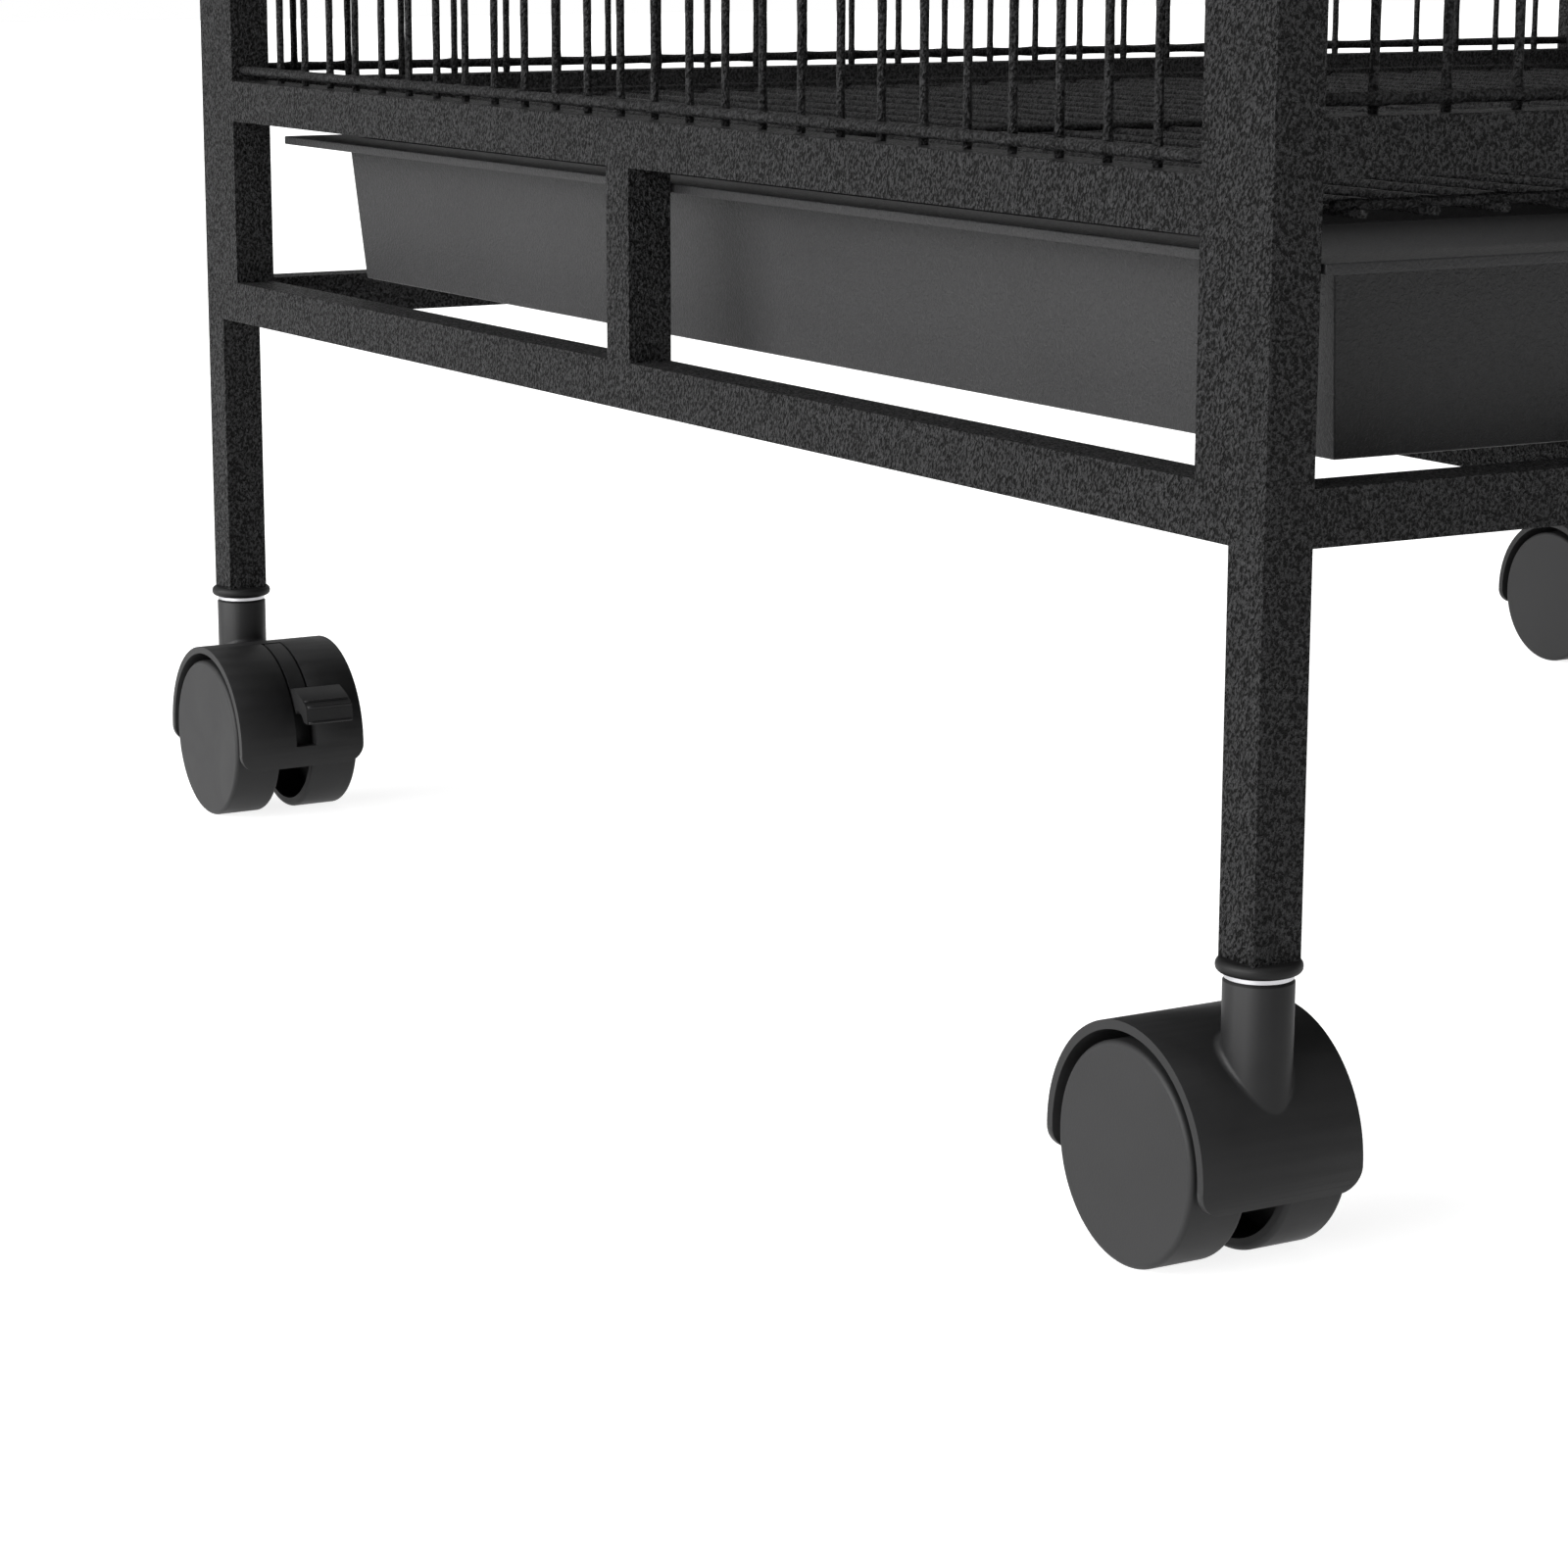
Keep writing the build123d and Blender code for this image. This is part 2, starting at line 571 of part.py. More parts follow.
def neck_seam(housing):
    """The edge where the round neck runs into the hood."""
    seam = []
    for edge in housing.edges():
        box = edge.bounding_box()
        if abs(box.max.X - NECK_R) < 0.1 and box.size.Z > NECK_BLEND and box.min.Z > WHEEL_R:
            seam.append(edge)
    return seam


def caster_housing(braked):
    axle = (TRAIL, WHEEL_R)
    lip = WHEEL_R + HOOD_LIP
    inside = drum(-WHEEL_OUT - 1, WHEEL_OUT + 1, *axle, HOOD_R - HOOD_SKIN + 0.3)
    neck = rod((0, 0, lip), (0, 0, 1), NECK_TOP - lip, NECK_R) - inside
    # the neck fairs into the hood and stops at its surface
    neck -= block(-30, 30, -30, 30, 0, WHEEL_R)
    web = drum(-WEB, WEB, *axle, WEB_R)
    web += drum(-WEB, WEB, *axle, HOOD_R - 0.6) & block(-WEB, WEB, -30, TRAIL - 2, lip, 60)
    web -= block(-30, 30, -30, 60, -10, lip)
    neck = chamfer(neck.edges().filter_by(GeomType.CIRCLE).sort_by(Axis.Z)[-1], NECK_CHAMFER)
    housing = caster_hood() + [neck, web]
    housing = fillet(neck_seam(housing), NECK_BLEND)
    housing -= rod((0, 0, NECK_TOP - 18), (0, 0, 1), 30, STEM_R)
    housing -= drum(-30, 30, *axle, AXLE_R)
    if not braked:
        return housing
    housing -= brake_window()
    slit_end = BRAKE_X[1] + BRAKE_SLIT
    ear = ring_sector(slit_end, WEB, WEB_R - 0.5, HOOD_R - 0.6, *BRAKE_EAR)
    y, z = BRAKE_PIVOT
    return housing + ear - drum(slit_end - 1, WEB + 1, TRAIL + y, WHEEL_R + z, BRAKE_PIN_R + RUNNING)


def ring_sector(x0, x1, r0, r1, low_deg, high_deg):
    """Part of a drum about the axle, from one angle above +Y to another."""
    sector = drum(x0, x1, TRAIL, WHEEL_R, r1) - drum(x0 - 1, x1 + 1, TRAIL, WHEEL_R, r0)
    corners = [(0.0, 0.0)]
    for angle in (low_deg, (low_deg + high_deg) / 2, high_deg):
        a = math.radians(angle)
        corners.append((60 * math.cos(a), 60 * math.sin(a)))
    side = Plane(origin=(x0, TRAIL, WHEEL_R), x_dir=(0, 1, 0), z_dir=(1, 0, 0))
    return sector & extrude(side * make_face(Polyline(*corners, close=True)), x1 - x0)


def brake_window():
    slit = BRAKE_SLIT
    return ring_sector(BRAKE_X[0] - slit, BRAKE_X[1] + slit, WEB_R + 0.01, HOOD_R + 1, 0.5, 86.0)


def brake_lever():
    """Tongue in the hood's window, with the foot pad outside and a shoe over both wheels."""
    tongue = ring_sector(*BRAKE_X, HOOD_R - HOOD_SKIN, HOOD_R, 33.0, 84.0)
    profile = [(19.2, 14.6), (22.6, 15.2), (27.0, 13.6), (30.3, 11.6), (30.8, 7.3), (28.8, 7.5),
               (27.2, 9.2), (25.2, 9.9), (22.2, 8.6), (18.4, 12.8)]
    side = Plane(origin=(BRAKE_PAD_X[0], TRAIL, WHEEL_R), x_dir=(0, 1, 0), z_dir=(1, 0, 0))
    outline = side * make_face(Polyline(*profile, close=True))
    pad = extrude(outline, BRAKE_PAD_X[1] - BRAKE_PAD_X[0])
    clear = drum(-30, BRAKE_X[0], TRAIL, WHEEL_R, HOOD_R + 1.9)
    clear += drum(BRAKE_X[1], 30, TRAIL, WHEEL_R, HOOD_R + 1.9)
    pad = pad - clear - drum(-30, 30, TRAIL, WHEEL_R, HOOD_R - HOOD_SKIN)
    y, z = BRAKE_PIVOT
    barrel = drum(*BRAKE_X, TRAIL + y, WHEEL_R + z, BRAKE_BARREL_R)
    pin = drum(BRAKE_X[0], BRAKE_PIN_END, TRAIL + y, WHEEL_R + z, BRAKE_PIN_R)
    shoe = ring_sector(-SHOE_X, SHOE_X, *SHOE_R, *SHOE)
    neck = ring_sector(*BRAKE_X, SHOE_R[0], HOOD_R - HOOD_SKIN + 0.3, *SHOE)
    return tongue + [pad, barrel, pin, shoe, neck]


def caster_axle():
    return drum(-AXLE_HALF, AXLE_HALF, TRAIL, WHEEL_R, AXLE_R)


def caster_wheel(sx):
    x0, x1 = sorted((sx * WHEEL_IN, sx * WHEEL_OUT))
    wheel = drum(x0, x1, TRAIL, WHEEL_R, WHEEL_R)
    wheel = fillet(wheel.edges().filter_by(GeomType.CIRCLE), 1.0)
    a, b = sorted((sx * (WHEEL_IN - 1), sx * (WHEEL_OUT - 3.5)))
    hollow = drum(a, b, TRAIL, WHEEL_R, WHEEL_R - WHEEL_RIM)
    hollow -= drum(a, b, TRAIL, WHEEL_R, 5.5)
    a, b = sorted((sx * (WHEEL_IN - 1), sx * (AXLE_HALF + 0.4)))
    return wheel - hollow - drum(a, b, TRAIL, WHEEL_R, AXLE_R + RUNNING)


def caster(braked):
    pieces = {
        "socket": caster_socket(),
        "stem": caster_stem(),
        "housing": caster_housing(braked),
        "axle": caster_axle(),
        "left_wheel": caster_wheel(-1),
        "right_wheel": caster_wheel(1),
    }
    if braked:
        pieces["brake"] = brake_lever()
    return pieces


# ---- all nodes ---------------------------------------------------------------------------
def assemble():
    nodes = {}
    corners = {"front_left": (-1, -1), "front_right": (1, -1),
               "rear_left": (-1, 1), "rear_right": (1, 1)}
    casters = {-1: caster(braked=False), 1: caster(braked=True)}
    for name, (sx, sy) in corners.items():
        nodes[f"{name}_post"] = [corner_post(sx, sy)]
        turn = 0 if sy < 0 else 180
        place = Pos(sx * (HX - BAR_IN), sy * (HY - BAR_IN), 0) * Rot(0, 0, turn)
        for piece, solid in casters[sy].items():
            nodes[f"{name}_caster_{piece}"] = [place * solid]
    nodes["post_caps"] = post_caps()
    for name, sx in (("left", -1), ("right", 1)):
        nodes[f"{name}_side_frame"] = side_frame(sx)
        nodes[f"{name}_side_wires"] = side_wires(sx)
        nodes[f"{name}_feeder_door"] = [feeder_door(sx)]
    nodes["back_frame"] = back_frame()
    nodes["back_wires"] = back_wires()
    nodes["front_frame"] = front_frame()
    nodes["front_wires"] = front_wires()
    nodes["roof_frame"] = roof_frame()
    nodes["roof_wires"] = roof_wires()
    nodes["frame_screws"] = frame_screws()
    nodes["door_frame"] = door_frame()
    nodes["door_wires"] = door_wires()
    nodes["door_hinge_pins"] = hinge_pins()
    nodes["latch_plate"] = [latch_plate()]
    nodes["latch_bolt"] = [latch_bolt()]
    nodes["latch_keeper"] = [latch_keeper()]
    nodes["feed_cups"] = feed_cups()
    nodes["perches"] = perches()
    nodes["perch_hardware"] = perch_hardware()
    nodes["tray"] = [tray()]
    nodes["tray_runners"] = tray_runners()
    nodes["grate"] = [grate()]
    nodes["grate_ledges"] = grate_ledges()
    return nodes


def main():
    os.makedirs("parts", exist_ok=True)
    for name, solids in assemble().items():
        flat = [s for item in solids for s in item.solids()]
        shape = flat[0] if len(flat) == 1 else Compound(flat)
        export_step(shape, f"parts/{name}.step")


main()
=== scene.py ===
import json
import math

import bmesh
import bpy
import numpy as np
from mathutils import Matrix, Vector

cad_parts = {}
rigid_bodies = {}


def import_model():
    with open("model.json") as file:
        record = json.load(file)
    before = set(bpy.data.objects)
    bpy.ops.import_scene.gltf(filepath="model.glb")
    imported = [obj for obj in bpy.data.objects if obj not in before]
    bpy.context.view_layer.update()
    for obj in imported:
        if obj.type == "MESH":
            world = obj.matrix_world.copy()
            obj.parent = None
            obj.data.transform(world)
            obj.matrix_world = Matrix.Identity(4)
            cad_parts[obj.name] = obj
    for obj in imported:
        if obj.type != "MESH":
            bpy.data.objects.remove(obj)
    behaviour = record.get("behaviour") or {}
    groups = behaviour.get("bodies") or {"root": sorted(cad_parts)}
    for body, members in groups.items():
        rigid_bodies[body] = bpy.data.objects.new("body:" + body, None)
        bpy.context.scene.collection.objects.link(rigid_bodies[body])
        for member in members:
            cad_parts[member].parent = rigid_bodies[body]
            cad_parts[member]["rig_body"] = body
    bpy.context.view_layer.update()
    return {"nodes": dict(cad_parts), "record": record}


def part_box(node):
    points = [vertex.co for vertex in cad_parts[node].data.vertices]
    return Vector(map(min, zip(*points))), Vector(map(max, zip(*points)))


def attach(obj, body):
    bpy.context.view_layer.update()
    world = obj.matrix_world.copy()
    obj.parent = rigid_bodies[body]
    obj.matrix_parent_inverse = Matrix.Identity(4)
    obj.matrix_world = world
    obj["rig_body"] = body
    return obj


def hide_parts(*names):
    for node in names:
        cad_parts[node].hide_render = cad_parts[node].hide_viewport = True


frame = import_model()

# Looks of a square bird cage on casters: a hammered black frame, coated wire panels, a smooth
# tray and satin casters. Metres, in the frame of the CAD part.

MM = 0.001
NODES = frame["nodes"]
SLOT_OF = {part["node"]: part["material_slot"] for part in frame["record"]["subparts"]}

# ---- square tube frames ------------------------------------------------------------------------
TUBE = 10.0 * MM
DOOR_GAP = 1.5 * MM          # all round the main door
KNUCKLE_REACH = 10.0 * MM    # hinge knuckles lie within this of the hinge line
SAME_POINT = 0.002 * MM      # corners this near are one corner
SAME_PLANE = 0.01 * MM       # slack in front of the tubes' front face
FLAT_ANGLE = math.radians(1.0)
PLACES = 5                   # decimals that tell one face of a tube from the next, in metres

# ---- wires, as the panels are welded -----------------------------------------------------------
BAR_R = 0.9 * MM
CROSS_R = 1.2 * MM
GRATE_CROSS_R = 1.0 * MM
SIDE_PITCH = 15.04 * MM
FRONT_PITCH = 15.15 * MM
GRATE_PITCH = 14.935 * MM
SIDE_BARS = 26
FRONT_BARS = 28
ROOF_BARS = 27
GRATE_BARS = 29
FIRST_CROSS = 2.6 * MM
CROSS_BAYS = 8
FEEDER_BAY = 3
FEEDER_HALF = 3.5 * SIDE_PITCH
FEEDER_EDGE = 6.0 * MM       # the feeder door's own edge bars, inside its opening
FEEDER_MARGIN = 5.0 * MM     # its bars end this far inside the opening
FEEDER_CROSS = 8.0 * MM      # and its outer cross wires lie this far inside
FEEDER_OVERRUN = 1.0 * MM    # its cross wires start this far past the bar at its free edge
PIVOT_CLEAR = 2.0 * MM       # and the outer ones end this far from the axis of its pivot bar
OPENING_OVERRUN = 0.7 * MM   # a panel's cross wires run this far past the bars beside the opening
DOOR_BAR_INSET = 2.0 * MM    # the main door's bars stay this far inside its cross wires' ends
MATCH = 1.0 * MM             # slack when bars are sorted into inside and outside an opening
GRATE_CROSSES = (3.5 * MM, -3.0 * MM, 4.0 * MM)    # inside the front end, along y, inside the back
ROOF_CROSSES = 3
WELD = 0.15 * MM             # how far crossing wires sink into each other
TAB = (6.0 * MM, 11.9 * MM, 1.6 * MM)     # out, across and thick
TAB_INSET = 0.1 * MM
TAB_CURL = ((0.0, 0.0), (0.6, 0.0), (0.9, 0.25), (1.0, 1.0))    # shares of out, and of thick
SLEEVE_R = 2.6 * MM
SLEEVE = 10.0 * MM
WIRE_SIDES = 8
WIRE_SKEW = (0.3, 0.5, 0.8)  # not parallel to any wire
RING_STEP = 5.0 * MM         # between rings of a wire
FINE_STEP = 1.3 * MM         # near its lower end, which is seen closest
FINE_LENGTH = 80.0 * MM
WIRE_FIT = 0.95              # a drawn wire's mean radius, as a share of the nominal one
COAT_LUMP = 0.07             # how uneven the coating is, as a share of the radius
COAT_WAVES = ((2.1 * MM, 2), (1.3 * MM, -1), (5.3 * MM, 1), (23.0 * MM, -2))   # length, lobes
PHASES = 6                   # drawn for each wire
WELD_SWELL = 0.22            # how much the coating swells at a weld
WELD_REACH = 1.6 * MM

# ---- moulded ribs on the pad of a brake lever --------------------------------------------------
WHEEL_R = 20.0 * MM
TRAIL = 15.0 * MM            # from stem to axle; the rear casters trail towards the front
PAD_ENDS = (-1.5 * MM, 10.4 * MM)
PAD_RIBS = ((28.5, 12.75, 0.35), (30.3, 11.5, 0.5), (30.85, 7.6, 0.4))    # out, up, radius, in mm

# ---- camera, light and floor -------------------------------------------------------------------
CAMERA_AT = Vector((-0.6296, -0.7657, 0.2311))
CAMERA_AZIMUTH = math.radians(-29.55)
CAMERA_PITCH = math.radians(-12.16)
CAMERA_LENS = 94.25
CAMERA_SHIFT = (0.0202, 0.0013)
CAMERA_CLIP = (0.01, 50.0)
FLOOR_SIZE = 14.0
FLOOR_GLOW = 0.85
WORLD_FILL = 0.10            # what the white surroundings give to the object
WORLD_GLOSS = 0.5            # what they show in its reflections
WORLD_SEEN = 1.0             # what the camera sees of them
SUNS = {                     # strength, spread in degrees, direction
    "top": (0.8, 70.0, (0.05, -0.15, -1.0)),
    "left": (10.5, 75.0, (1.0, 0.0, -0.14)),
}


# ---- material building blocks ------------------------------------------------------------------
def material(name, roughness, metallic=0.0, specular=0.5, coat=0.0):
    made = bpy.data.materials.new(name)
    made.use_nodes = True
    tree = made.node_tree
    tree.nodes.clear()
    output = tree.nodes.new("ShaderNodeOutputMaterial")
    shader = tree.nodes.new("ShaderNodeBsdfPrincipled")
    tree.links.new(shader.outputs["BSDF"], output.inputs["Surface"])
    shader.inputs["Roughness"].default_value = roughness
    shader.inputs["Metallic"].default_value = metallic
    shader.inputs["Specular IOR Level"].default_value = specular
    shader.inputs["Coat Weight"].default_value = coat
    return made, tree, shader


def object_coordinates(tree, stretch=(1.0, 1.0, 1.0), tilt=None):
    """Object coordinates, stretched; tilt leans the axes first, so a grain runs slightly askew."""
    coordinates = tree.nodes.new("ShaderNodeTexCoord")
    mapping = tree.nodes.new("ShaderNodeMapping")
    mapping.inputs["Scale"].default_value = stretch
    if tilt:
        mapping.vector_type = "TEXTURE"
        mapping.inputs["Scale"].default_value = [1 / share for share in stretch]
        mapping.inputs["Rotation"].default_value = [math.radians(angle) for angle in tilt]
    tree.links.new(coordinates.outputs["Object"], mapping.inputs["Vector"])
    return mapping.outputs["Vector"]


def noise(tree, vector, scale, detail=2.0, roughness=0.5, distortion=0.0):
    node = tree.nodes.new("ShaderNodeTexNoise")
    node.inputs["Scale"].default_value = scale
    node.inputs["Detail"].default_value = detail
    node.inputs["Roughness"].default_value = roughness
    node.inputs["Distortion"].default_value = distortion
    tree.links.new(vector, node.inputs["Vector"])
    return node.outputs["Fac"]


def spread(tree, value, low, high, to_low, to_high):
    """Maps low..high of a value onto to_low..to_high."""
    node = tree.nodes.new("ShaderNodeMapRange")
    node.inputs["From Min"].default_value = low
    node.inputs["From Max"].default_value = high
    node.inputs["To Min"].default_value = to_low
    node.inputs["To Max"].default_value = to_high
    tree.links.new(value, node.inputs["Value"])
    return node.outputs["Result"]


def shades(tree, value, stops):
    """Colour ramp over a value; stops are (place, colour)."""
    node = tree.nodes.new("ShaderNodeValToRGB")
    ramp = node.color_ramp
    while len(ramp.elements) < len(stops):
        ramp.elements.new(0.5)
    for element, (place, colour) in zip(ramp.elements, stops):
        element.position = place
        element.color = (*colour, 1.0)
    tree.links.new(value, node.inputs["Fac"])
    return node.outputs["Color"]


def grey(value):
    """A faintly cool grey."""
    return (value, value, value * 1.03)


def relief(tree, shader, layers):
    """Stacks bump layers of (height, strength, depth in metres) onto the shader."""
    normal = None
    for height, strength, depth in layers:
        node = tree.nodes.new("ShaderNodeBump")
        node.inputs["Strength"].default_value = strength
        node.inputs["Distance"].default_value = depth
        tree.links.new(height, node.inputs["Height"])
        if normal is not None:
            tree.links.new(normal, node.inputs["Normal"])
        normal = node.outputs["Normal"]
    tree.links.new(normal, shader.inputs["Normal"])


# ---- finishes ----------------------------------------------------------------------------------
GRAIN_TILT = (25.0, 15.0, 0.0)    # degrees
WOOD_DARK = (0.30, 0.17, 0.08)
WOOD_MIDDLE = (0.47, 0.30, 0.16)
WOOD_LIGHT = (0.62, 0.44, 0.26)


def hammered_paint(name, grain, stretch, depth, crease_shade, crest_highlight):
    """Black hammered powder coat, leathery and pebbled, with painted shade in the creases and a
    painted highlight on the crests: the base colour runs dark to light with the bump's height.
    """
    made, tree, shader = material(name, 0.5, specular=0.1)
    place = object_coordinates(tree, stretch, tilt=GRAIN_TILT)
    pebble = noise(tree, place, grain, detail=2.0, roughness=0.55, distortion=0.5)
    broad = noise(tree, place, grain / 4, detail=1.0)
    middle = (crease_shade + crest_highlight) / 2
    # painted shade and highlight: the pebble height that drives the bump also picks the base colour,
    # dark in the creases and light on the crests
    colour = shades(tree, pebble, [(0.44, grey(crease_shade)), (0.49, grey(middle)), (0.55, grey(crest_highlight))])
    tree.links.new(colour, shader.inputs["Base Color"])
    tree.links.new(spread(tree, pebble, 0.4, 0.6, 0.62, 0.42), shader.inputs["Roughness"])
    relief(tree, shader, [(broad, 0.3, depth), (pebble, 1.0, depth)])
    return made


def moulded_plastic(name, base, roughness, grain=2600.0, depth=0.02 * MM, coat=0.0):
    """Moulded plastic: nearly even colour, very fine spark-eroded grain, faint flow marks."""
    made, tree, shader = material(name, roughness, specular=0.18, coat=coat)
    place = object_coordinates(tree)
    fine = noise(tree, place, grain, detail=2.0)
    flow = noise(tree, place, 60.0, detail=3.0, distortion=0.6)
    colour = shades(tree, flow, [(0.3, grey(base * 0.86)), (0.7, grey(base * 1.14))])
    tree.links.new(colour, shader.inputs["Base Color"])
    tree.links.new(spread(tree, flow, 0.3, 0.7, roughness - 0.06, roughness + 0.06),
                   shader.inputs["Roughness"])
    relief(tree, shader, [(fine, 0.6, depth)])
    return made


def leathered_tray(name):
    """Smooth dark tray with a shallow leather grain over fine speckle."""
    made, tree, shader = material(name, 0.5, specular=0.22)
    place = object_coordinates(tree)
    leather = noise(tree, place, 1500.0, detail=1.5, roughness=0.5, distortion=0.8)
    fine = noise(tree, place, 2600.0, detail=1.0)
    cloud = noise(tree, place, 14.0, detail=2.0)
    colour = shades(tree, cloud, [(0.3, grey(0.0145)), (0.7, grey(0.0175))])
    tree.links.new(colour, shader.inputs["Base Color"])
    tree.links.new(spread(tree, leather, 0.3, 0.7, 0.56, 0.44), shader.inputs["Roughness"])
    relief(tree, shader, [(leather, 0.8, 0.34 * MM), (fine, 0.4, 0.06 * MM)])
    return made


def plated_steel(name, base, roughness):
    """Zinc plate: bright, with fine turning lines and slightly dull patches."""
    made, tree, shader = material(name, roughness, metallic=1.0)
    place = object_coordinates(tree, (1.0, 1.0, 14.0))
    lines = noise(tree, place, 420.0, detail=3.0)
    patches = noise(tree, object_coordinates(tree), 160.0, detail=2.0)
    colour = shades(tree, patches, [(0.3, grey(base * 0.85)), (0.7, grey(base))])
    tree.links.new(colour, shader.inputs["Base Color"])
    tree.links.new(spread(tree, patches, 0.3, 0.7, roughness, roughness + 0.14),
                   shader.inputs["Roughness"])
    relief(tree, shader, [(lines, 0.25, 0.03 * MM)])
    return made


def turned_wood(name):
    """Bare dowel: long grain streaks along the perch, pores and a few darker rings."""
    made, tree, shader = material(name, 0.62, specular=0.3)
    place = object_coordinates(tree, (0.06, 1.0, 1.0))
    streaks = noise(tree, place, 420.0, detail=4.0, roughness=0.6, distortion=0.5)
    bands = noise(tree, place, 90.0, detail=2.0)
    pores = noise(tree, object_coordinates(tree, (0.12, 1.0, 1.0)), 1700.0, detail=2.0)
    mixed = tree.nodes.new("ShaderNodeMath")
    mixed.operation = "MULTIPLY_ADD"
    mixed.inputs[1].default_value = 0.45
    tree.links.new(bands, mixed.inputs[0])
    tree.links.new(spread(tree, streaks, 0.0, 1.0, 0.0, 0.6), mixed.inputs[2])
    colour = shades(tree, mixed.outputs["Value"],
                    [(0.3, WOOD_DARK), (0.5, WOOD_MIDDLE), (0.72, WOOD_LIGHT)])
    tree.links.new(colour, shader.inputs["Base Color"])
    tree.links.new(spread(tree, streaks, 0.3, 0.7, 0.7, 0.52), shader.inputs["Roughness"])
    relief(tree, shader, [(streaks, 0.4, 0.08 * MM), (pores, 0.4, 0.05 * MM)])
    return made


def finish_of(maker, name, *values, **options):
    return name, maker(name, *values, **options)


FINISHES = dict([
    # the last two numbers of each hammered finish are its painted crease shade and painted crest
    # highlight
    finish_of(hammered_paint, "powder_coat", 1650.0, (1.0, 1.0, 0.7), 3.2 * MM, 0.0001, 0.0265),
    finish_of(hammered_paint, "coated_wire", 1700.0, (1.0, 1.0, 0.8), 1.3 * MM, 0.0005, 0.018),
    finish_of(leathered_tray, "tray_plastic"),
    finish_of(moulded_plastic, "caster_plastic", 0.0095, 0.48),
    finish_of(moulded_plastic, "collar_plastic", 0.004, 0.55),
    finish_of(moulded_plastic, "wheel_plastic", 0.0125, 0.54, depth=0.03 * MM),
    finish_of(moulded_plastic, "black_plastic", 0.016, 0.45),
    finish_of(plated_steel, "caster_steel", 0.5, 0.24),
    finish_of(plated_steel, "screw_steel", 0.6, 0.28),
    finish_of(moulded_plastic, "cup_plastic", 0.024, 0.24, grain=900.0, depth=0.01 * MM, coat=0.3),
    finish_of(turned_wood, "perch_wood"),
])


# ---- CAD nodes: finish and softened edges ------------------------------------------------------
EDGE_ROUND = {
    "powder_coat": 0.45 * MM,
    "tray_plastic": 0.35 * MM,
    "caster_plastic": 0.35 * MM,
    "cup_plastic": 0.5 * MM,
    "perch_wood": 0.8 * MM,
    "black_plastic": 0.4 * MM,
}
CURVED = ("caster_plastic", "cup_plastic", "perch_wood")
SHARP_ANGLE = math.radians(38.0)


def soften(piece, slot, segments, harden):
    """Rounds the sharp edges; harden keeps the shading of curved faces even."""
    edges = piece.modifiers.new("soften", "BEVEL")
    edges.width = EDGE_ROUND[slot]
    edges.segments = segments
    edges.limit_method = "ANGLE"
    edges.angle_limit = SHARP_ANGLE
    edges.harden_normals = harden


def dress(node):
    piece = NODES[node]
    slot = SLOT_OF[node]
    piece.data.materials.clear()
    piece.data.materials.append(FINISHES["collar_plastic" if node.endswith("_socket") else slot])
    join = piece.modifiers.new("join", "WELD")
    join.merge_threshold = SAME_POINT
    if slot in EDGE_ROUND:
        curved = slot in CURVED and not node.endswith("_brake")
        soften(piece, slot, 2, harden=curved)
        if not curved:
            piece.modifiers.new("shade", "WEIGHTED_NORMAL")


